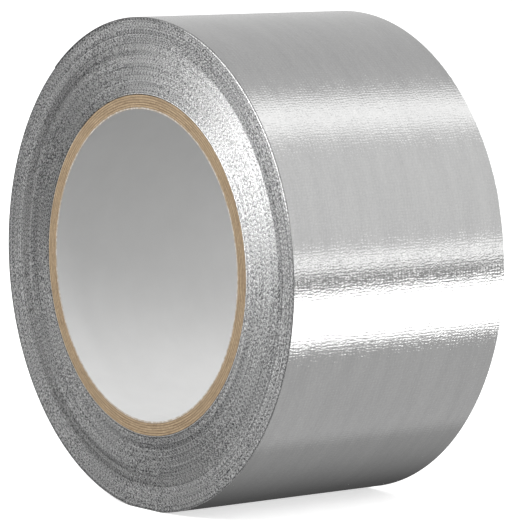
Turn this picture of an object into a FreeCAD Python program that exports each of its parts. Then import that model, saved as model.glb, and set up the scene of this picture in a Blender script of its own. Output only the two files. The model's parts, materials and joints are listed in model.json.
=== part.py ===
"""Roll of duct tape on a spiral-wound paperboard core.

The roll stands on its edge.  The origin is the centre of the bore, halfway along it, the bore
runs along Y, and Z is up.  Angles are in degrees, anticlockwise from +X as seen from the front,
which is the -Y side.  All sizes are in millimetres.
"""
import FreeCAD, Part
import math
import os
from FreeCAD import Placement, Rotation, Vector

# The roll
roll_width = 63.5            # tape and core are slit together, so both have this width
bore_diameter = 76.2         # standard 3 inch core

# The core: a white paper liner, then kraft plies glued one on another
liner_thickness = 0.40
ply_thickness = 0.62
ply_count = 5

# The tape: a laminate of three layers, wound with the adhesive inwards
adhesive_thickness = 0.10
cloth_thickness = 0.07
film_thickness = 0.06
laps_under = 80              # whole laps below the outermost one
settled_depth = 0.35         # how far the soft laps have settled where the roll stands

# The free end of the tape
cut_end_angle = 130.0        # where the last lap was cut off
free_end_length = 26.0       # stretch of the last lap that peels up, measured along the tape
free_end_clearance = 0.05    # between the free end, the lap under it and the lap it leaves

tape_thickness = adhesive_thickness + cloth_thickness + film_thickness
bore_radius = bore_diameter / 2
core_radius = bore_radius + liner_thickness + ply_count * ply_thickness
pack_radius = core_radius + laps_under * tape_thickness
half_turn, full_turn = 180.0, 360.0

# A lap is two half circles.  The first one's centre lies a quarter of the tape's thickness
# behind the bore axis, as seen from the cut end, and the second one's as far in front of it.
# The radius grows by the tape's thickness in a turn, and the halves join without a corner.
centre_shift = tape_thickness / 4
first_half_radius = pack_radius + centre_shift
second_half_radius = pack_radius + 3 * centre_shift

# Standing on its edge, a soft roll takes a small flat.  It lies straight down from the bore.
bottom_turn = 270.0 - cut_end_angle

# The last lap peels up to here, counted from where the lap starts
free_end_turn = math.degrees(free_end_length / (second_half_radius + tape_thickness))
peel_turn = full_turn - free_end_turn
clearance_turn = math.degrees(free_end_clearance / second_half_radius)


def on_arc(shift, radius, turn):
    """A point on a circle in the XZ plane.  Its centre is moved by shift towards the cut end,
    and turn is counted from the cut end."""
    angle = math.radians(turn)
    point = Vector(shift + radius * math.cos(angle), 0, radius * math.sin(angle))
    return Rotation(Vector(0, 1, 0), -cut_end_angle).multVec(point)


def arc(shift, radius, start, end):
    """An edge along such a circle, from one turn angle to another."""
    middle = (start + end) / 2
    points = [on_arc(shift, radius, turn) for turn in (start, middle, end)]
    return Part.Arc(*points).toShape()


def line(shift, radius, start, end):
    """A straight edge between two points of such a circle."""
    return Part.makeLine(on_arc(shift, radius, start), on_arc(shift, radius, end))


def round_with_flat(shift, radius, start, end):
    """Edges along such a circle, with the settled flat as a chord where they pass the bottom."""
    half_flat = math.degrees(math.acos((radius - settled_depth) / radius))
    flat_start, flat_end = bottom_turn - half_flat, bottom_turn + half_flat
    if not start < flat_start < flat_end < end:
        return [arc(shift, radius, start, end)]
    return [
        arc(shift, radius, start, flat_start),
        line(shift, radius, flat_start, flat_end),
        arc(shift, radius, flat_end, end),
    ]


def radial_line(shift, low, high, turn):
    """A straight edge across the tape's thickness."""
    return Part.makeLine(on_arc(shift, low, turn), on_arc(shift, high, turn))


def across_the_width(edges):
    """The solid of a closed outline in the XZ plane, over the roll's whole width."""
    face = Part.Face(Part.Wire(Part.__sortEdges__(edges)))
    face.Placement = Placement(Vector(0, -roll_width / 2, 0), Rotation())
    return face.extrude(Vector(0, roll_width, 0))


def tube(inner_radius, outer_radius):
    """A plain tube along the bore axis, as wide as the roll."""
    front = Vector(0, -roll_width / 2, 0)
    outside = Part.makeCylinder(outer_radius, roll_width, front, Vector(0, 1, 0))
    return outside.cut(Part.makeCylinder(inner_radius, roll_width, front, Vector(0, 1, 0)))


def core_liner():
    """The white paper that lines the bore."""
    return tube(bore_radius, bore_radius + liner_thickness)


def core_ply(number):
    """One kraft ply, number 1 being the innermost."""
    inner = bore_radius + liner_thickness + (number - 1) * ply_thickness
    return tube(inner, inner + ply_thickness)


def wound_tape():
    """All laps under the last one, with the step where the last lap begins."""
    outline = round_with_flat(-centre_shift, first_half_radius, 0, half_turn)
    outline += round_with_flat(centre_shift, second_half_radius, half_turn, full_turn)
    outline.append(
        Part.makeLine(
            on_arc(centre_shift, second_half_radius, full_turn),
            on_arc(-centre_shift, first_half_radius, 0),
        )
    )
    front = Vector(0, -roll_width / 2, 0)
    core = Part.makeCylinder(core_radius, roll_width, front, Vector(0, 1, 0))
    return across_the_width(outline).cut(core)


def last_lap(height, thickness):
    """One layer of the last lap, from its start to the line where the free end peels.
    height is the layer's inner side over the laps below."""
    outline = []
    for side in (height, height + thickness):
        first, second = first_half_radius + side, second_half_radius + side
        outline += round_with_flat(-centre_shift, first, 0, half_turn)
        outline += round_with_flat(centre_shift, second, half_turn, peel_turn)
    low, high = first_half_radius + height, first_half_radius + height + thickness
    outline.append(radial_line(-centre_shift, low, high, 0))
    low, high = second_half_radius + height, second_half_radius + height + thickness
    outline.append(radial_line(centre_shift, low, high, peel_turn))
    return across_the_width(outline)


def free_end(height, thickness):
    """One layer of the free end, from the peel line to the cut."""
    low, high = second_half_radius + height, second_half_radius + height + thickness
    start = peel_turn + clearance_turn
    outline = [arc(centre_shift, side, start, full_turn) for side in (low, high)]
    outline += [radial_line(centre_shift, low, high, turn) for turn in (start, full_turn)]
    return across_the_width(outline)


def tape_layers(stretch, lift):
    """The tape's three layers along one stretch of it.  The adhesive gives up lift."""
    cloth_height = adhesive_thickness
    film_height = cloth_height + cloth_thickness
    return {
        "adhesive": stretch(lift, adhesive_thickness - lift),
        "cloth": stretch(cloth_height, cloth_thickness),
        "film": stretch(film_height, film_thickness),
    }


nodes = {"core_liner": core_liner()}
for number in range(1, ply_count + 1):
    nodes[f"core_ply_{number}"] = core_ply(number)
nodes["wound_tape"] = wound_tape()
for layer, solid in tape_layers(last_lap, 0).items():
    nodes[f"last_lap_{layer}"] = solid
for layer, solid in tape_layers(free_end, free_end_clearance).items():
    nodes[f"free_end_{layer}"] = solid

os.makedirs("parts", exist_ok=True)
for name, solid in nodes.items():
    solid.exportStep(f"parts/{name}.step")
    print(f"{name}: {solid.Volume:.1f} mm3, valid {solid.isValid()}, solids {len(solid.Solids)}")

hinge = on_arc(centre_shift, second_half_radius + tape_thickness, peel_turn)
print(f"peel line at x {hinge.x:.4f}, z {hinge.z:.4f}, {cut_end_angle - free_end_turn:.2f} degrees")
print(f"tape wound on: {(laps_under + 1) * math.pi * (core_radius + pack_radius) / 1000:.2f} m")
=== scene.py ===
"""Roll of silver duct tape, standing on its edge on a pale floor.

The bore runs along Y and its centre is the origin.  Lengths are in metres and angles in radians,
anticlockwise from +X as seen from the front, which is the -Y side.  Only the patterns that follow
the tape count in millimetres along it and across it.
"""
import bmesh
import bpy
import json
import math
from mathutils import Matrix, Vector, noise


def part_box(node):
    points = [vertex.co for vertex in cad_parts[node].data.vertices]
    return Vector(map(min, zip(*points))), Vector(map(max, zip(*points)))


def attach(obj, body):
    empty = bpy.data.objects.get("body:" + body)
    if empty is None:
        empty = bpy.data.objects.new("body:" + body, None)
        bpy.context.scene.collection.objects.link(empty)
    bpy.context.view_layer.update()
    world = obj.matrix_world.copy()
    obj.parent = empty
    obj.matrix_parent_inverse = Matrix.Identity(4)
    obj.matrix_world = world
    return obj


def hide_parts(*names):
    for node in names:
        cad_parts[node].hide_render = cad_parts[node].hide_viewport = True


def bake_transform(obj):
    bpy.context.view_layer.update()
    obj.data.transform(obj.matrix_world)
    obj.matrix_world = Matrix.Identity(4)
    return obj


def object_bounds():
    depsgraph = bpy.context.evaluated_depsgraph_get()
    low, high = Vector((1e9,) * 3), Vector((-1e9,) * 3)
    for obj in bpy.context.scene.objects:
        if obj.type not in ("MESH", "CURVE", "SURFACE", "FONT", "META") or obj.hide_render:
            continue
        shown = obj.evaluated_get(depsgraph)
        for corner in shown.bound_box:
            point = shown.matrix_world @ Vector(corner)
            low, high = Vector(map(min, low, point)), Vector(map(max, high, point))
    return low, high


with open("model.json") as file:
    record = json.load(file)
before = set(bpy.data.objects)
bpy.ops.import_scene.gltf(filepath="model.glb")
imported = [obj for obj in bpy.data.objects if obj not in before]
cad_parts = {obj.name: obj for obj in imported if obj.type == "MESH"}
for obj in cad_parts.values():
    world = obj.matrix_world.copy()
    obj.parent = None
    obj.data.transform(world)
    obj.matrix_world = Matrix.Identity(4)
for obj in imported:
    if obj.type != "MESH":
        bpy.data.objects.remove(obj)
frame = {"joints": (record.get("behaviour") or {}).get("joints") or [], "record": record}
cad_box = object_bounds()
mm = 0.001


# ---------------------------------------------------------------------------------------------
# Camera.  A long lens, a little above the floor, looks at the roll from its front right, so the
# side face stands on the left and the round face runs away to the right.

camera_azimuth = math.radians(53.3)
camera_elevation = math.radians(5.84)
camera_distance = 0.9018
camera_roll = math.radians(-0.19)
lens_length, sensor_width = 248.4, 36.0          # both in the millimetres of a film camera

towards_camera = Vector((
    math.sin(camera_azimuth) * math.cos(camera_elevation),
    -math.cos(camera_azimuth) * math.cos(camera_elevation),
    math.sin(camera_elevation),
))
camera_data = bpy.data.cameras.new("camera")
camera_data.sensor_width = sensor_width
camera_data.lens = lens_length
camera_data.shift_x, camera_data.shift_y = 0.0149, -0.0107
camera_data.clip_start, camera_data.clip_end = 0.05, 50.0
camera = bpy.data.objects.new("camera", camera_data)
bpy.context.collection.objects.link(camera)
aim = (-towards_camera).to_track_quat("-Z", "Y").to_matrix().to_4x4()
standpoint = Matrix.Translation(towards_camera * camera_distance)
camera.matrix_world = standpoint @ aim @ Matrix.Rotation(camera_roll, 4, "Z")
bpy.context.scene.camera = camera


# ---------------------------------------------------------------------------------------------
# Floor.  A plain, pale, matt sheet that the roll stands on, wide enough to fill the view behind
# it.  Glossy surfaces don't see it.  For them the table panel of the next section stands in.

class Wire:
    """A value that runs through a node tree.  Arithmetic on it adds Math nodes to the tree."""

    def __init__(self, recipe, socket):
        self.recipe, self.socket = recipe, socket

    def math(self, operation, *values):
        return self.recipe.add("ShaderNodeMath", {"operation": operation}, dict(enumerate(values)))

    def __add__(self, other):
        return self.math("ADD", self, other)

    def __radd__(self, other):
        return self.math("ADD", other, self)

    def __sub__(self, other):
        return self.math("SUBTRACT", self, other)

    def __rsub__(self, other):
        return self.math("SUBTRACT", other, self)

    def __mul__(self, other):
        return self.math("MULTIPLY", self, other)

    def __rmul__(self, other):
        return self.math("MULTIPLY", other, self)

    def __truediv__(self, other):
        return self.math("DIVIDE", self, other)

    def __lt__(self, other):
        return self.math("LESS_THAN", self, other)

    def do(self, operation, *others):
        """Any other operation of the Math node, with this value first."""
        return self.math(operation, self, *others)

    def ease(self, low, high):
        """0 up to low, 1 from high on, and a smooth step between them."""
        sockets = {"Value": self, "From Min": low, "From Max": high}
        return self.recipe.add("ShaderNodeMapRange", {"interpolation_type": "SMOOTHSTEP"}, sockets)


class Recipe:
    """A node tree under construction.  Every node in it comes from add()."""

    def __init__(self, tree):
        self.tree = tree

    def add(self, kind, settings=None, sockets=None, output=0):
        """A node of that kind, its settings made first, then its sockets' values and links."""
        node = self.tree.nodes.new(kind)
        for name, value in (settings or {}).items():
            setattr(node, name, value)
        for name, value in (sockets or {}).items():
            if isinstance(value, Wire):
                self.tree.links.new(value.socket, node.inputs[name])
            else:
                node.inputs[name].default_value = value
        return Wire(self, node.outputs[output])

    def place(self):
        """Where a point is in the object, in metres, as a vector."""
        return self.add("ShaderNodeTexCoord", output="Object")

    def split(self, vector):
        """The three parts of a vector."""
        node = self.add("ShaderNodeSeparateXYZ", sockets={0: vector}).socket.node
        return [Wire(self, part) for part in node.outputs]

    def join(self, x, y, z):
        """A vector from three parts."""
        return self.add("ShaderNodeCombineXYZ", sockets={0: x, 1: y, 2: z})

    def noise(self, vector, scale, detail=2.0, roughness=0.5):
        """Soft noise from 0 to 1, by scale in cycles to a unit of the vector."""
        sockets = {"Vector": vector, "Scale": scale, "Detail": detail, "Roughness": roughness}
        return self.add("ShaderNodeTexNoise", {"noise_dimensions": "3D"}, sockets)

    def streaks(self, x, y, z, detail=2.0, roughness=0.5):
        """Soft noise from 0 to 1, from three counts of cycles, so that its grain can be drawn out."""
        return self.noise(self.join(x, y, z), 1.0, detail, roughness)

    def blend(self, share, first, second):
        """A colour between two others."""
        settings = {"data_type": "RGBA"}
        return self.add("ShaderNodeMix", settings, {0: share, 6: first, 7: second}, output=2)


def new_material(name):
    """A material with only a Principled shader, as (material, recipe, shader node)."""
    material = bpy.data.materials.new(name)
    material.use_nodes = True
    tree = material.node_tree
    return material, Recipe(tree), tree.nodes["Principled BSDF"]


def finish_material(recipe, shader, colour, roughness, height=None, depth=0.0, **fixed):
    """Links what varies to the shader, and sets what is the same all over on its own sockets.
    height, from 0 to 1, makes a relief depth metres deep."""
    for socket, value in (("Base Color", colour), ("Roughness", roughness)):
        if isinstance(value, Wire):
            recipe.tree.links.new(value.socket, shader.inputs[socket])
        else:
            shader.inputs[socket].default_value = value
    if height is not None:
        bump = recipe.add("ShaderNodeBump", sockets={"Distance": depth, "Height": height})
        recipe.tree.links.new(bump.socket, shader.inputs["Normal"])
    for socket, value in fixed.items():
        shader.inputs[socket.replace("_", " ").title()].default_value = value


def floor_material():
    """Matt white sheet, lit from below like a product table, with a barely visible mottle."""
    material, recipe, shader = new_material("floor_sheet")
    mottles_per_metre = 9.0
    mottle = recipe.noise(recipe.place(), mottles_per_metre)
    colour = recipe.blend(mottle, (0.90, 0.90, 0.90, 1.0), (0.92, 0.92, 0.92, 1.0))
    finish_material(recipe, shader, colour, 0.9, emission_color=(1, 1, 1, 1), emission_strength=0.65)
    return material


floor_half = 9.0
floor_height = cad_box[0].z
floor_mesh = bpy.data.meshes.new("floor")
floor_corners = [(x * floor_half, y * floor_half, floor_height)
                 for x, y in ((-1, -1), (1, -1), (1, 1), (-1, 1))]
floor_mesh.from_pydata(floor_corners, [], [(0, 1, 2, 3)])
floor = bpy.data.objects.new("floor", floor_mesh)
bpy.context.collection.objects.link(floor)
floor_mesh.materials.append(floor_material())
floor.visible_diffuse = floor.visible_glossy = False


# ---------------------------------------------------------------------------------------------
# Light.  A white room, a soft lamp for the side face and a small one for its glint, and three
# glowing sheets that only mirror-like surfaces see: bars beside the roll, a bar over it, and the
# table as the silver film mirrors it.

def white_room():
    """A room that is bright above and dark below, brighter on the right than on the left, and
    darker in front."""
    world = bpy.data.worlds.new("room")
    world.use_nodes = True
    bpy.context.scene.world = world
    recipe = Recipe(world.node_tree)
    direction = recipe.add("ShaderNodeTexCoord", output="Generated")
    x, y, z = recipe.split(direction)

    # each soft border lies between two limits of the direction's own parts, which go from -1 to 1
    wall_lean, wall, horizon, front_wall = 0.25, (-0.45, 0.25), (-0.12, 0.10), (-0.25, 0.25)
    right = (x - wall_lean * z).ease(*wall)
    above = z.ease(*horizon)
    front = 1 - y.ease(*front_wall)
    upper = room_above + room_right * right - room_front * front
    strength = room_below + above * (upper - room_below)
    background = world.node_tree.nodes["Background"]
    recipe.tree.links.new(strength.socket, background.inputs["Strength"])
    background.inputs["Color"].default_value = (1.0, 1.0, 1.0, 1.0)


def soft_box(name, place, size, power, **rays):
    """A square light at a place, aimed at the middle of the roll."""
    light = bpy.data.lights.new(name, "AREA")
    light.size = size
    light.energy = power
    lamp = bpy.data.objects.new(name, light)
    bpy.context.collection.objects.link(lamp)
    lamp.location = place
    lamp.rotation_mode = "QUATERNION"
    lamp.rotation_quaternion = (-Vector(place)).to_track_quat("-Z", "Y")
    lamp.visible_camera = False
    for ray, seen in rays.items():
        setattr(lamp, "visible_" + ray, seen)


def mirror_panel(name, corners, glow_of):
    """A glowing sheet that only mirror-like surfaces see.  glow_of gives its strength, and how
    solid it is, from the three parts of a place on it."""
    material = bpy.data.materials.new(name)
    material.use_nodes = True
    recipe, tree = Recipe(material.node_tree), material.node_tree
    glow, solid = glow_of(*recipe.split(recipe.place()))
    tree.nodes.remove(tree.nodes["Principled BSDF"])
    emission = recipe.add("ShaderNodeEmission", sockets={"Color": (1, 1, 1, 1), "Strength": glow})
    clear = recipe.add("ShaderNodeBsdfTransparent")
    mixed = recipe.add("ShaderNodeMixShader", sockets={0: solid, 1: clear, 2: emission})
    tree.links.new(mixed.socket, tree.nodes["Material Output"].inputs["Surface"])
    mesh = bpy.data.meshes.new(name)
    mesh.from_pydata(corners, [], [(0, 1, 2, 3)])
    panel = bpy.data.objects.new(name, mesh)
    bpy.context.collection.objects.link(panel)
    panel.data.materials.append(material)
    panel.visible_camera = panel.visible_diffuse = panel.visible_shadow = False
    material.cycles.emission_sampling = "NONE"


def bars(x, y, height):
    """Level bars beside the roll: a bright one near the floor, a dark one, and a fainter one."""
    bottom, low_top, dark_top, high_top = [height.ease(*edge) for edge in bar_edges]
    low = bottom * (1 - low_top)
    dark = low_top * (1 - dark_top)
    high = dark_top * (1 - high_top)
    return low_bar * low + dark_bar * dark + high_bar * high, low + dark + high


def overhead(x, y, height):
    """A bar over the roll, with soft sides."""
    near = x.ease(overhead_near, overhead_near + near_fade)
    far = x.ease(overhead_far - far_fade, overhead_far)
    across = near * (1 - far)
    return overhead_glow * across, across


def table_top(x, y, height):
    """The table as the film mirrors it: grey, and darker under the roll."""
    in_shade = (table_edge - table_shade) * x.ease(*shade_side)
    in_light = (table_glow - table_edge) * x.ease(*light_side)
    return table_shade + in_shade + in_light, x.ease(*table_fade)


def level_sheet(left, right, front, rear, z):
    """The corners of a level sheet."""
    return [(left, front, z), (left, rear, z), (right, rear, z), (right, front, z)]


def upright_sheet(x, front, rear, low, high):
    """The corners of an upright sheet that faces the roll's right-hand side."""
    return [(x, front, low), (x, front, high), (x, rear, high), (x, rear, low)]


room_below, room_above, room_right, room_front = 0.30, 0.72, 0.38, 0.40
white_room()

# the lower and upper limit of each soft edge between the bars, from the floor upwards
bar_edges = (-0.0570, -0.0550), (-0.0163, -0.0153), (-0.0020, 0.0030), (0.0105, 0.0135)
low_bar, dark_bar, high_bar = 4.0, 0.52, 2.15
mirror_panel("bar_panel", upright_sheet(0.120, -0.09, 0.19, -0.057, 0.030), bars)

overhead_near, overhead_far, near_fade, far_fade = 0.022, 0.264, 0.09, 0.05
overhead_glow, overhead_height = 1.85, 0.39
mirror_panel("overhead_panel",
             level_sheet(overhead_near, overhead_far, -0.1, 0.9, overhead_height), overhead)

table_glow, table_edge, table_shade = 0.72, 0.50, 0.08
table_fade, shade_side, light_side = (-0.30, -0.10), (0.012, 0.043), (0.0425, 0.0475)
table_height = floor_height + 0.2 * mm
mirror_panel("table_panel", level_sheet(-0.30, 0.60, -0.1, 1.5, table_height), table_top)

soft_box("key_light", (-0.12, -0.92, 0.62), 0.45, 11.0, glossy=False)
soft_box("glint_light", (0.06, -1.02, 0.45), 0.20, 5.0, diffuse=False)
bpy.context.scene.view_settings.view_transform = "Standard"


# ---------------------------------------------------------------------------------------------
# Core.  Five plies of kraft paperboard, glued and wound in a helix round a mandrel over a white
# paper liner.  Each ply's edges meet in a butt seam, and the tube is slit through with the tape.

half_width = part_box("wound_tape")[1].y
bore_radius = frame["record"]["mounts"][0]["dims"]["r_mm"] * mm
liner_thickness = 0.40 * mm
ply_thickness, ply_count = 0.62 * mm, 5
sharp_angle = math.radians(25)


def core_tube(name, material, inner, outer, seam_angle, seed):
    """A wound paper tube.  Its butt seam is a fine groove that climbs round it in a helix, and
    its slit edges are a little uneven."""
    seam_half_width, seam_depth, seam_lead = 0.12 * mm, 0.10 * mm, 150 * mm
    corner, unevenness = 0.05 * mm, 0.035 * mm
    bumps_per_radian, bumps_per_metre = 40.0, 4000.0
    columns, stations = 300, 9

    # the columns round the tube, of which the first few cross the seam, and a column's outline
    half_seam = seam_half_width / outer
    rest = math.tau - 4 * half_seam
    angles = [-2 * half_seam, -half_seam, 0.0, half_seam]
    angles += [2 * half_seam + rest * step / columns for step in range(columns)]
    seam_column = angles.index(0.0)
    along = [half_width * (2 * step / (stations - 1) - 1) for step in range(stations)]
    along[0], along[-1] = -half_width + corner, half_width - corner
    section = [(outer, y) for y in along] + [(outer - corner, half_width)]
    section += [(inner + corner, half_width)] + [(inner, y) for y in reversed(along)]
    section += [(inner + corner, -half_width), (outer - corner, -half_width)]
    middle = (inner + outer) / 2
    vertices, faces = [], []
    for column, angle in enumerate(angles):
        groove = seam_depth if column == seam_column else 0.0
        for radius, y in section:
            on_edge = abs(y) > half_width - corner / 2
            radius += math.copysign(groove, middle - radius)
            if on_edge:
                side = math.copysign(5.0, y)
                bump = Vector((angle * bumps_per_radian, radius * bumps_per_metre, seed + side))
                y -= math.copysign(groove + unevenness * (1 + noise.noise(bump)), y)
            turned = seam_angle + angle + math.tau * (y + half_width) / seam_lead
            vertices.append((radius * math.cos(turned), y, radius * math.sin(turned)))
    count, points = len(angles), len(section)
    for column in range(count):
        for point in range(points):
            this, following = column * points, (column + 1) % count * points
            beside = (point + 1) % points
            faces.append((this + point, following + point, following + beside, this + beside))
    mesh = bpy.data.meshes.new(name)
    mesh.from_pydata(vertices, [], faces)
    tube = bpy.data.objects.new(name, mesh)
    bpy.context.collection.objects.link(tube)
    shell = bmesh.new()
    shell.from_mesh(mesh)
    bmesh.ops.recalc_face_normals(shell, faces=shell.faces)
    shell.to_mesh(mesh)
    shell.free()
    mesh.materials.append(material)
    mesh.polygons.foreach_set("use_smooth", [True] * len(mesh.polygons))
    mesh.set_sharp_from_angle(angle=sharp_angle)
    return tube


def kraft_material():
    """Tan kraft board: matt, with fibres that run round it, and a dark glue line where each ply
    meets the next."""
    material, recipe, shader = new_material("kraft_board")
    fibres_per_radian, fibre_thickness, fibre_length = 12.0, 0.16 * mm, 3 * mm
    fleck_size, fibre_relief = 0.5 * mm, 0.08 * mm
    spot = recipe.place()
    x, y, z = recipe.split(spot)
    radius = (x * x + z * z).do("SQRT")
    angle = z.do("ARCTAN2", x)

    # how far out of its ply's thickness a point lies, and the glue at both sides of the ply
    in_ply = ((radius - bore_radius - liner_thickness) / ply_thickness).do("FRACT")
    inner_glue, outer_glue = (0.02, 0.26), (0.86, 1.0)
    glue = 1 - in_ply.ease(*inner_glue) * (1 - in_ply.ease(*outer_glue))
    fibre = recipe.streaks(angle * fibres_per_radian, radius / fibre_thickness, y / fibre_length, 3.0)
    fleck = recipe.noise(spot, 1 / fleck_size)
    shade = (0.5 + 1.3 * (fibre - 0.5) + 0.9 * (fleck - 0.5)).do("MAXIMUM", 0.0)

    # pale and dark fibres, and dark glue over them
    colour = recipe.blend(shade, (0.190, 0.130, 0.076, 1.0), (0.570, 0.432, 0.280, 1.0))
    colour = recipe.blend((0.45 + 0.8 * fleck) * glue, colour, (0.105, 0.066, 0.033, 1.0))
    finish_material(recipe, shader, colour, 0.86, fibre + 0.5 * fleck, fibre_relief)
    return material


def liner_material():
    """White machine-finished paper: smooth and matt, with a faint cloudy formation.  Its slit
    edge is rubbed and soiled in patches."""
    material, recipe, shader = new_material("liner_paper")
    cloud_size, fibre_size, nick_size, fibre_relief = 6 * mm, 0.25 * mm, 0.8 * mm, 0.02 * mm
    spot = recipe.place()
    cloud = recipe.noise(spot, 1 / cloud_size, 3.0)
    fibre = recipe.noise(spot, 1 / fibre_size)
    shade = 0.5 + 0.7 * (cloud - 0.5) + 0.3 * (fibre - 0.5)
    colour = recipe.blend(shade, (0.70, 0.70, 0.696, 1.0), (0.78, 0.78, 0.776, 1.0))
    across = recipe.split(spot)[1].do("ABSOLUTE")
    on_edge = across.ease(half_width - 0.20 * mm, half_width - 0.05 * mm)
    nicked = recipe.noise(spot, 1 / nick_size).ease(0.40, 0.66)
    cut = recipe.blend(nicked, (0.42, 0.36, 0.29, 1.0), (0.62, 0.58, 0.54, 1.0))
    colour = recipe.blend(on_edge, colour, cut)
    finish_material(recipe, shader, colour, 0.62 + 0.1 * fibre, fibre, fibre_relief)
    return material


# each seam starts this far round the front edge, the plies' one further on than the last
liner_seam, ply_seam_step = math.radians(-35.0), math.radians(67.0)
liner = core_tube("bore_liner", liner_material(), bore_radius, bore_radius + liner_thickness,
                  liner_seam, 1.0)
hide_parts("core_liner")
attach(liner, "roll")

kraft_board = kraft_material()
for number in range(1, ply_count + 1):
    ply_inner = bore_radius + liner_thickness + (number - 1) * ply_thickness
    ply = core_tube(f"kraft_ply_{number}", kraft_board, ply_inner, ply_inner + ply_thickness,
                    ply_seam_step * number, 10.0 * number)
    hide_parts(f"core_ply_{number}")
    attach(ply, "roll")


# ---------------------------------------------------------------------------------------------
# Wound tape.  Eighty laps of silver cloth tape, each stuck to the one below it, and slit straight
# through with the core, so that the side faces show their edges.  None lies level with the next.

core_radius = bore_radius + liner_thickness + ply_count * ply_thickness
adhesive_thickness, cloth_thickness, film_thickness = 0.10 * mm, 0.07 * mm, 0.06 * mm
tape_thickness = adhesive_thickness + cloth_thickness + film_thickness
laps_under = 80                          # whole laps below the outermost one
laps_in_half = laps_under // 2
pack_radius = core_radius + laps_under * tape_thickness
cut_end_angle = math.radians(130.0)
settled_depth = 0.35 * mm                # how far the laps have settled where the roll stands
warp_pitch, weft_pitch = 1.20, 1.25      # millimetres from one yarn of the cloth to the next


def bared(laps):
    """1 where the lap under the outermost one shows its side, because the outermost one has
    slipped sideways there.  laps counts from the start of that lap, in laps."""
    return laps.ease(0.64, 0.70) * (1 - laps.ease(0.80, 0.86))


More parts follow.
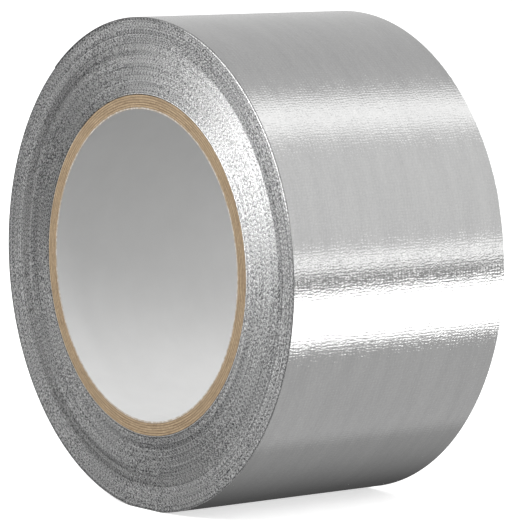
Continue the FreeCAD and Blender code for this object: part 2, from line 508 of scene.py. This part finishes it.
def winding_tree(material, face_material):
    """Geometry Nodes that sweep a strip's section along a flat spiral round the bore axis.  The
    round face is of face_material, where one is given."""
    tree = bpy.data.node_groups.new("winding", "GeometryNodeTree")
    sizes = ("First Angle", "First Radius", "First Turn", "Turns", "Pitch", "Thickness", "Width",
             "Corner", "Wander", "Wander Seed", "Slant", "Slip", "Ragged", "Settled Depth",
             "Core Radius", "Pack Radius")
    for size in sizes:
        tree.interface.new_socket(size, in_out="INPUT", socket_type="NodeSocketFloat")
    for count in ("Steps", "Cuts"):
        tree.interface.new_socket(count, in_out="INPUT", socket_type="NodeSocketInt")
    tree.interface.new_socket("Geometry", in_out="OUTPUT", socket_type="NodeSocketGeometry")
    recipe = Recipe(tree)
    node = recipe.add("NodeGroupInput").socket.node
    value = {socket.name: Wire(recipe, socket) for socket in node.outputs if socket.name}

    def waves(x, y, detail=1.0, roughness=0.5):
        """Soft noise from 0 to 1 in a plane."""
        sockets = {"Vector": recipe.join(x, y, 0.0), "Scale": 1.0, "Detail": detail,
                   "Roughness": roughness}
        return recipe.add("ShaderNodeTexNoise", {"noise_dimensions": "2D"}, sockets)

    # the spiral, drawn flat, with each point's count of turns and its radius kept
    rail = recipe.add("GeometryNodeCurvePrimitiveLine")
    rail = recipe.add("GeometryNodeResampleCurve", sockets={"Curve": rail, "Count": value["Steps"]})
    index = recipe.add("GeometryNodeInputIndex")
    turn = value["First Turn"] + value["Turns"] * (index / (value["Steps"] - 1))
    angle = value["First Angle"] + math.tau * turn
    radius = value["First Radius"] + value["Pitch"] * turn + 0.5 * value["Thickness"]
    spiral = recipe.join(radius * angle.do("COSINE"), radius * angle.do("SINE"), 0.0)
    rail = recipe.add("GeometryNodeSetPosition", sockets={"Geometry": rail, "Position": spiral})
    keep = recipe.add("GeometryNodeCaptureAttribute").socket.node
    keep.capture_items.new("FLOAT", "turn")
    keep.capture_items.new("FLOAT", "radius")
    recipe.tree.links.new(rail.socket, keep.inputs["Geometry"])
    recipe.tree.links.new(turn.socket, keep.inputs["turn"])
    recipe.tree.links.new(radius.socket, keep.inputs["radius"])
    kept_turn, kept_radius = Wire(recipe, keep.outputs["turn"]), Wire(recipe, keep.outputs["radius"])
    rail = recipe.add("GeometryNodeSetCurveNormal", {"mode": "Z_UP"},
                      {"Curve": Wire(recipe, keep.outputs["Geometry"])})

    # the strip's section, with its corners rounded over
    section = recipe.add("GeometryNodeCurvePrimitiveQuadrilateral", {"mode": "RECTANGLE"},
                         {"Width": value["Thickness"], "Height": value["Width"]})
    section = recipe.add("GeometryNodeFilletCurve", {"mode": "POLY"},
                         {"Curve": section, "Count": 2, "Radius": value["Corner"]})
    section = recipe.add("GeometryNodeSubdivideCurve", sockets={0: section, 1: value["Cuts"]})
    strip = recipe.add("GeometryNodeCurveToMesh",
                       sockets={"Curve": rail, "Profile Curve": section, "Fill Caps": True})

    # each lap wanders a little to one side, and part of the outermost one has slipped further
    slow_waves, quick_waves, nibbles = 5.0, 70.0, 240.0        # in a turn
    slip_starts, slip_ends = (0.672, 0.690), (0.825, 0.885)    # in turns from the cut end
    x, y, z = recipe.split(recipe.add("GeometryNodeInputPosition"))
    slow = waves(kept_turn * slow_waves, value["Wander Seed"]) - 0.5
    quick = waves(kept_turn * quick_waves, value["Wander Seed"] + 9.0) - 0.5
    slipped = kept_turn.ease(*slip_starts) * (1 - kept_turn.ease(*slip_ends))
    nibble = waves(kept_turn * nibbles, 3.0)
    slipped = slipped * (0.55 + 0.9 * (nibble - 0.3).do("MAXIMUM", 0.0))
    sideways = value["Wander"] * (slow * 2.0 + quick) + value["Slip"] * slipped

    # the knife has pulled each lap's edge over, and the outer laps' edges less
    tight_radius, loose_radius, less_pulled = 54.0 * mm, 54.8 * mm, 0.68
    from_axis = (x * x + y * y).do("SQRT")
    in_lap = (from_axis - kept_radius) / value["Thickness"] + 0.5
    outer = from_axis.ease(tight_radius, loose_radius) * (1 - bared(kept_turn - (laps_in_half - 1)))
    pulled = value["Slant"] * in_lap * (1 - less_pulled * outer)
    z = z - z.do("SIGN") * pulled

    # a torn end is a little ragged
    torn_length, bite_width = 3.0 * mm, 5.0 * mm
    last_turn = value["First Turn"] + value["Turns"]
    from_end = (last_turn - kept_turn) * kept_radius * math.tau
    near_end = 1 - from_end.ease(0.0, torn_length)
    bite = waves(z / bite_width, 0.5, 4.0, 0.65)
    torn = value["Ragged"] * near_end * (bite - 0.75)
    x, y = x - torn * y / from_axis, y + torn * x / from_axis

    # stood up on the bore axis, and settled where the roll stands, the outer laps the most
    settled_rounding = 0.15 * mm
    wound = (kept_radius - value["Core Radius"]) / (value["Pack Radius"] - value["Core Radius"])
    depth = value["Settled Depth"] * wound
    lifted = y.do("SMOOTH_MAX", depth - from_axis, settled_rounding)
    stood = recipe.join(x, sideways - z, lifted)
    strip = recipe.add("GeometryNodeSetPosition", sockets={"Geometry": strip, "Position": stood})

    # where each point is on the tape: along it and across it in millimetres, and its lap
    along = kept_turn * (value["First Radius"] + 0.5 * value["Pitch"] * kept_turn) * (math.tau / mm)
    across = recipe.split(recipe.add("GeometryNodeInputPosition"))[1] / mm
    laps_below = (value["First Radius"] - value["Core Radius"]) / value["Pitch"]
    place = recipe.join(along, across, kept_turn + laps_below)
    strip = recipe.add("GeometryNodeStoreNamedAttribute",
                       {"data_type": "FLOAT_VECTOR", "domain": "POINT"},
                       {"Geometry": strip, "Name": "tape_place", "Value": place})

    # smooth but for its corners, and of one or two materials
    smooth_up_to, side_facing = math.radians(12), 0.1
    bend = recipe.add("GeometryNodeInputMeshEdgeAngle")
    strip = recipe.add("GeometryNodeSetShadeSmooth", {"domain": "EDGE"},
                       {0: strip, "Shade Smooth": bend < smooth_up_to})
    strip = recipe.add("GeometryNodeRealizeInstances", sockets={"Geometry": strip})
    strip = recipe.add("GeometryNodeSetMaterial", sockets={"Geometry": strip, "Material": material})
    if face_material is not None:
        sideward = recipe.split(recipe.add("GeometryNodeInputNormal"))[1].do("ABSOLUTE")
        strip = recipe.add("GeometryNodeSetMaterial", sockets={
            "Geometry": strip, "Selection": sideward < side_facing, "Material": face_material})
    out = tree.nodes.new("NodeGroupOutput")
    tree.links.new(strip.socket, out.inputs["Geometry"])
    return tree


def made_by(tree, name, values):
    """What a Geometry Nodes tree makes from its named inputs' values, as a plain mesh object."""
    holder = bpy.data.objects.new(name + "_holder", bpy.data.meshes.new(name + "_holder"))
    bpy.context.collection.objects.link(holder)
    modifier = holder.modifiers.new("maker", "NODES")
    modifier.node_group = tree
    for item in tree.interface.items_tree:
        if item.in_out == "INPUT":
            whole = item.socket_type == "NodeSocketInt"
            modifier[item.identifier] = values.get(item.name, 0 if whole else 0.0)
    bpy.context.view_layer.update()
    evaluated = holder.evaluated_get(bpy.context.evaluated_depsgraph_get())
    mesh = bpy.data.meshes.new_from_object(evaluated)
    holder.modifiers.remove(modifier)
    bpy.data.objects.remove(holder)
    mesh.name = name
    piece = bpy.data.objects.new(name, mesh)
    bpy.context.collection.objects.link(piece)
    return piece


def wind(name, material, face_material=None, **sizes):
    """A strip wound on the roll.  sizes names the tree's inputs."""
    values = {"First Angle": cut_end_angle, "Width": 2 * half_width, "Pitch": tape_thickness,
              "Settled Depth": settled_depth, "Core Radius": core_radius, "Pack Radius": pack_radius}
    values.update({key.replace("_", " ").title(): value for key, value in sizes.items()})
    return made_by(winding_tree(material, face_material), name, values)


def tape_place(recipe):
    """Where a point is on the wound strip: millimetres along it and across it, and its lap."""
    place = recipe.add("ShaderNodeAttribute", {"attribute_name": "tape_place"}, output="Vector")
    return recipe.split(place)


def slit_edge_material():
    """The slit edges of the laps: grey laminate flecked with cut yarn ends and bits of bright
    film, each lap with its own tone, a few darker or brighter than the rest."""
    material, recipe, shader = new_material("slit_edges")
    along, _, lap = tape_place(recipe)
    tone_change, oddness_change, fleck_change = 4.53, 1.7, 9.0      # cycles from lap to lap
    coarse_flecks, fine_flecks = 2.1, 5.2                           # cycles to a millimetre along
    fleck_relief = 0.09 * mm
    tone = recipe.streaks(lap * tone_change, 3.4, 1.7)
    odd = recipe.streaks(lap * oddness_change, 5.0, 0.0, 1.0)
    bright_lap = odd.ease(0.60, 0.72)
    dark_lap = 1 - odd.ease(0.26, 0.38)
    yarn = 0.5 + 0.5 * (along * (math.tau / weft_pitch)).do("SINE")
    fleck = recipe.streaks(along * coarse_flecks, lap * fleck_change, 0.0, 2.0, 0.7)
    fine = recipe.streaks(along * fine_flecks, lap * fleck_change, 3.0, 1.0)
    speck = (fleck - 0.5) * 1.6 + (fine - 0.5) * 1.1 + (yarn - 0.5) * 0.25
    grey = 0.44 + 0.95 * (tone - 0.5) + 1.15 * speck + 0.20 * bright_lap - 0.14 * dark_lap

    # the first lap is bright and the second dark, and the outer laps are a little darker than the
    # inner ones, above all at the rim, but for the bright stretch that is bared there
    first_lap = 1 - lap.ease(0.8, 1.0)
    second_lap = lap.ease(0.9, 1.1) * (1 - lap.ease(1.9, 2.2))
    outer_laps = lap.ease(52.0, 57.0)
    bare = bared(lap - (laps_under - 1))
    rim = lap.ease(laps_under - 1.4, laps_under - 1.0) * (1 - bare)
    grey = grey + 0.55 * first_lap - 0.35 * second_lap - 0.08 * outer_laps + 0.4 * bare - 0.25 * rim
    grey = grey.do("MAXIMUM", 0.0).do("MINIMUM", 1.0)
    colour = recipe.blend(grey, (0.07, 0.071, 0.075, 1.0), (0.90, 0.90, 0.895, 1.0))
    rough = 0.15 + 0.5 * (fleck - 0.35).do("MAXIMUM", 0.0) + 0.15 * fine
    finish_material(recipe, shader, colour, rough, speck, fleck_relief, metallic=0.40)
    return material


def film_material():
    """Polyethylene film with aluminium pigment: satin and silver, with faint ridges printed by the
    cloth, fine creases across the tape and soft tension lines along it."""
    material, recipe, shader = new_material("silver_film")
    along, across, _ = tape_place(recipe)
    ridge_pitch_across, ridge_pitch_along, film_relief = 0.90, 0.78, 0.031 * mm

    # the cloth's ridges, which wander and come and go; counts are of cycles to a millimetre
    uneven = 1.6 * recipe.streaks(along * 0.35, across * 0.5, 9.0)
    warp = 0.5 + 0.5 * ((across / ridge_pitch_across + uneven) * math.tau).do("SINE")
    weft = 0.5 + 0.5 * ((along / ridge_pitch_along + uneven) * math.tau).do("SINE")
    patchy = recipe.streaks(along * 0.25, across * 0.25, 1.0)
    weave = warp * weft * patchy

    # fine creases and short dashes across the tape, slanted pulls, and the slow ripple and drift
    crease = recipe.streaks(along * 2.6, across * 0.28, 0.0, 2.0, 0.6)
    dash = recipe.streaks(along * 2.8, across * 0.9, 4.0, 2.0, 0.6)
    slanted = recipe.streaks(along * 0.45 + across * 0.5, across * 1.7 - along * 0.6, 7.0, 2.0, 0.6)
    ripple = recipe.streaks(along * 0.07, across * 0.24 - along * 0.05, 5.0)
    drift = recipe.streaks(along * 0.03, across * 0.35, 2.0, 3.0)

    # how much each one shows in the film's tone, in its shine and in its relief
    shade = 0.5 + 0.6 * (drift - 0.5) + 0.6 * (slanted - 0.5) + 0.6 * (dash - 0.5) + 0.4 * weave
    shade = shade + 0.4 * (ripple - 0.5)
    colour = recipe.blend(shade, (0.41, 0.41, 0.41, 1.0), (0.54, 0.54, 0.535, 1.0))
    rough = 0.045 + 0.05 * dash
    height = 0.9 * weave + 0.7 * crease + 1.1 * dash + 0.4 * slanted + 1.2 * ripple
    finish_material(recipe, shader, colour, rough, height, film_relief, metallic=0.92)
    return material


slit_edges = slit_edge_material()
silver_film = film_material()

# each lap is a hair thinner than the space it has, so that it clears the next one
drawn_thickness = 0.97 * tape_thickness
lap_sizes = {"turns": float(laps_in_half), "thickness": drawn_thickness, "corner": 0.05 * mm,
             "slant": 0.14 * mm, "wander": 0.07 * mm, "steps": 200 * laps_in_half}
inner_laps = wind("wound_laps_inner", slit_edges, first_radius=core_radius, wander_seed=3.0,
                  **lap_sizes)
outer_laps = wind("wound_laps_outer", slit_edges, silver_film,
                  first_radius=core_radius + laps_in_half * tape_thickness, wander_seed=8.0,
                  **lap_sizes)
for laps in (inner_laps, outer_laps):
    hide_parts("wound_tape")
    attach(laps, "roll")


# ---------------------------------------------------------------------------------------------
# Last lap.  The outermost lap, of film, cloth and adhesive, whose silver film is the roll's round
# face.  The cloth shows through the film as a faint weave, and winding has left fine creases
# across the tape.  The adhesive holds it to the lap below, up to the line where it peels.

peel_joint = frame["joints"][0]
peel_x, _, peel_z = peel_joint["pos_m"]
peel_angle = math.atan2(peel_z, peel_x)
full_lap_turns = 1.0 - (cut_end_angle - peel_angle) / math.tau


def cloth_material():
    """Cotton and polyester gauze yarn: matt grey, and darker where adhesive has soaked in."""
    material, recipe, shader = new_material("gauze_cloth")
    fibre_size, soaked_size, fibre_relief = 0.15 * mm, 2.5 * mm, 0.02 * mm
    spot = recipe.place()
    fibres = recipe.noise(spot, 1 / fibre_size)
    soaked = recipe.noise(spot, 1 / soaked_size)
    colour = recipe.blend(fibres, (0.20, 0.20, 0.20, 1.0), (0.42, 0.42, 0.41, 1.0))
    colour = recipe.blend(soaked.ease(0.45, 0.65), colour, (0.13, 0.13, 0.132, 1.0))
    finish_material(recipe, shader, colour, 0.8, fibres, fibre_relief)
    return material


def adhesive_material():
    """Grey rubber adhesive: slightly shiny, stringy, and raised where it covers the gauze's yarns."""
    material, recipe, shader = new_material("rubber_adhesive")
    along, across, _ = tape_place(recipe)
    narrowness, gauze_relief = 4.0, 0.05 * mm
    warp = 0.5 + 0.5 * (across * (math.tau / warp_pitch)).do("COSINE")
    weft = 0.5 + 0.5 * (along * (math.tau / weft_pitch)).do("COSINE")
    gauze = warp.do("POWER", narrowness).do("MAXIMUM", weft.do("POWER", narrowness))

    # strings of adhesive along the tape, and dust that has stuck to it
    strings = recipe.streaks(along * 0.5, across * 2.2, 0.0, 3.0, 0.6)
    dust = recipe.streaks(along * 3.0, across * 3.0, 2.0)
    shade = 0.35 + 0.5 * (strings - 0.5) + 0.35 * gauze + 0.2 * (dust - 0.5)
    colour = recipe.blend(shade, (0.10, 0.10, 0.103, 1.0), (0.34, 0.34, 0.335, 1.0))
    rough = 0.34 + 0.25 * strings
    finish_material(recipe, shader, colour, rough, 0.7 * gauze + 0.4 * strings, gauze_relief)
    return material


gauze_cloth, rubber_adhesive = cloth_material(), adhesive_material()
cloth_height, film_height = adhesive_thickness, adhesive_thickness + cloth_thickness
lap_layers = (
    ("adhesive", rubber_adhesive, 0.0, adhesive_thickness),
    ("cloth", gauze_cloth, cloth_height, cloth_thickness),
    ("film", silver_film, film_height, film_thickness),
)
for layer, material, height, thickness in lap_layers:
    edge = slit_edges if layer == "film" else material
    piece = wind(
        "round_face_" + layer, edge, material, first_radius=pack_radius + height, turns=full_lap_turns,
        thickness=thickness, corner=0.015 * mm, slip=0.28 * mm, steps=720)
    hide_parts("last_lap_" + layer)
    "tape_" + layer
    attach(piece, "roll")


# ---------------------------------------------------------------------------------------------
# Free end.  The last stretch of tape, torn off by hand, so its film and adhesive are ragged and
# its yarns stand out of them.  It peels up from the roll and bends over its first millimetres.

def gauze_tree(material):
    """Geometry Nodes that lay warp yarns along the free end and weft yarns across it."""
    tree = bpy.data.node_groups.new("gauze", "GeometryNodeTree")
    sizes = ("First Angle", "First Turn", "Turns", "Radius", "Pitch", "Width", "Warp Pitch",
             "Weft Pitch", "Yarn Radius", "Longest Fray")
    for size in sizes:
        tree.interface.new_socket(size, in_out="INPUT", socket_type="NodeSocketFloat")
    for count in ("Steps", "Warp Count", "Weft Count", "Weft Steps"):
        tree.interface.new_socket(count, in_out="INPUT", socket_type="NodeSocketInt")
    tree.interface.new_socket("Geometry", in_out="OUTPUT", socket_type="NodeSocketGeometry")
    recipe = Recipe(tree)
    node = recipe.add("NodeGroupInput").socket.node
    value = {socket.name: Wire(recipe, socket) for socket in node.outputs if socket.name}
    yarn = recipe.add("GeometryNodeCurvePrimitiveCircle", {"mode": "RADIUS"},
                      {"Resolution": 6, "Radius": value["Yarn Radius"]})

    def on_lap(share, y, height):
        """A place on the lap, share of the way along the free end and height over its middle."""
        turn = value["First Turn"] + value["Turns"] * share
        angle = value["First Angle"] + math.tau * turn
        radius = value["Radius"] + value["Pitch"] * turn + height
        return recipe.join(radius * angle.do("COSINE"), y, radius * angle.do("SINE"))

    # warp yarns: straight lines side by side, each then bent along the lap
    x_axis = recipe.join(1.0, 0.0, 0.0)
    warp = recipe.add("GeometryNodeCurvePrimitiveLine", {"mode": "POINTS"}, {"End": x_axis})
    warp = recipe.add("GeometryNodeResampleCurve", sockets={"Curve": warp, "Count": value["Steps"]})
    first_warp = recipe.join(0.0, -0.5 * value["Warp Pitch"] * (value["Warp Count"] - 1), 0.0)
    beds = recipe.add("GeometryNodeMeshLine", {"mode": "OFFSET"}, {
        "Count": value["Warp Count"], "Start Location": first_warp,
        "Offset": recipe.join(0.0, value["Warp Pitch"], 0.0)})
    warp = recipe.add("GeometryNodeInstanceOnPoints", sockets={"Points": beds, "Instance": warp})
    warp = recipe.add("GeometryNodeRealizeInstances", sockets={"Geometry": warp})
    share, y, _ = recipe.split(recipe.add("GeometryNodeInputPosition"))
    own = recipe.add("ShaderNodeTexWhiteNoise", {"noise_dimensions": "1D"},
                     {"W": (y / value["Warp Pitch"]).do("ROUND")})
    length = value["Turns"] * value["Radius"] * math.tau

    # at the tear each yarn ends at a length of its own and leans its own way
    fray = value["Longest Fray"] * (own - 0.3) / length * share.ease(0.9, 1.0)
    lean = 0.4 * value["Longest Fray"] * (own * 7.0).do("SINE") * share.ease(0.96, 1.0)
    warp = recipe.add("GeometryNodeSetPosition", sockets={
        "Geometry": warp, "Position": on_lap(share + fray, y + lean, value["Yarn Radius"])})
    warp = recipe.add("GeometryNodeCurveToMesh",
                      sockets={"Curve": warp, "Profile Curve": yarn, "Fill Caps": True})

    # weft yarns: lines across the tape, laid under the warp, each a little wavy
    wave_length, waviness, row_change = 9 * mm, 0.35, 300.0
    half = 0.5 * value["Width"]
    weft = recipe.add("GeometryNodeCurvePrimitiveLine", {"mode": "POINTS"}, {
        "Start": recipe.join(0.0, 0 - half, 0.0), "End": recipe.join(0.0, half, 0.0)})
    weft = recipe.add("GeometryNodeResampleCurve",
                      sockets={"Curve": weft, "Count": value["Weft Steps"]})
    weft_share = value["Weft Pitch"] / length
    rows = recipe.add("GeometryNodeMeshLine", {"mode": "OFFSET"}, {
        "Count": value["Weft Count"], "Start Location": recipe.join(0.4 * weft_share, 0.0, 0.0),
        "Offset": recipe.join(weft_share, 0.0, 0.0)})
    weft = recipe.add("GeometryNodeInstanceOnPoints", sockets={"Points": rows, "Instance": weft})
    weft = recipe.add("GeometryNodeRealizeInstances", sockets={"Geometry": weft})
    share, y, _ = recipe.split(recipe.add("GeometryNodeInputPosition"))
    wave = recipe.streaks(share * row_change, y / wave_length, 0.0, 1.0) - 0.5
    weft = recipe.add("GeometryNodeSetPosition", sockets={
        "Geometry": weft,
        "Position": on_lap(share + waviness * weft_share * wave, y, 0 - value["Yarn Radius"])})
    weft = recipe.add("GeometryNodeCurveToMesh",
                      sockets={"Curve": weft, "Profile Curve": yarn, "Fill Caps": True})

    both = recipe.add("GeometryNodeJoinGeometry").socket.node
    for yarns in (weft, warp):
        tree.links.new(yarns.socket, both.inputs["Geometry"])
    cloth = recipe.add("GeometryNodeSetShadeSmooth",
                       sockets={0: Wire(recipe, both.outputs[0]), "Shade Smooth": True})
    cloth = recipe.add("GeometryNodeRealizeInstances", sockets={"Geometry": cloth})
    cloth = recipe.add("GeometryNodeSetMaterial", sockets={"Geometry": cloth, "Material": material})
    out = tree.nodes.new("NodeGroupOutput")
    tree.links.new(cloth.socket, out.inputs["Geometry"])
    return tree


free_end_turns = 1.0 - full_lap_turns
free_end_length = free_end_turns * math.tau * pack_radius
clearance = 0.05 * mm                    # between the free end's adhesive and the lap under it
tail_steps, tail_cuts = 110, 60          # along the tape and across it
free_end_adhesive = wind(
    "tail_adhesive", rubber_adhesive, first_radius=pack_radius + clearance,
    first_turn=full_lap_turns, turns=free_end_turns, thickness=adhesive_thickness - clearance,
    corner=0.012 * mm, ragged=2.4 * mm, steps=tail_steps, cuts=tail_cuts)
free_end_film = wind(
    "tail_film", silver_film, first_radius=pack_radius + film_height, first_turn=full_lap_turns,
    turns=free_end_turns, thickness=film_thickness, corner=0.015 * mm, ragged=2.8 * mm,
    steps=tail_steps, cuts=tail_cuts)
free_end_cloth = made_by(gauze_tree(gauze_cloth), "tail_cloth", {
    "First Angle": cut_end_angle, "First Turn": full_lap_turns, "Turns": free_end_turns,
    "Radius": pack_radius + cloth_height + cloth_thickness / 2, "Pitch": tape_thickness,
    "Width": 2 * half_width, "Warp Pitch": warp_pitch * mm, "Weft Pitch": weft_pitch * mm,
    "Yarn Radius": cloth_thickness / 4, "Longest Fray": 1.1 * mm, "Steps": tail_steps,
    "Warp Count": int(2 * half_width / (warp_pitch * mm)), "Weft Steps": tail_cuts,
    "Weft Count": int(free_end_length / (weft_pitch * mm))})

tail_layers = (("adhesive", free_end_adhesive), ("cloth", free_end_cloth), ("film", free_end_film))
for layer, piece in tail_layers:
    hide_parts("free_end_" + layer)
    "tape_" + layer
    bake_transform(piece)
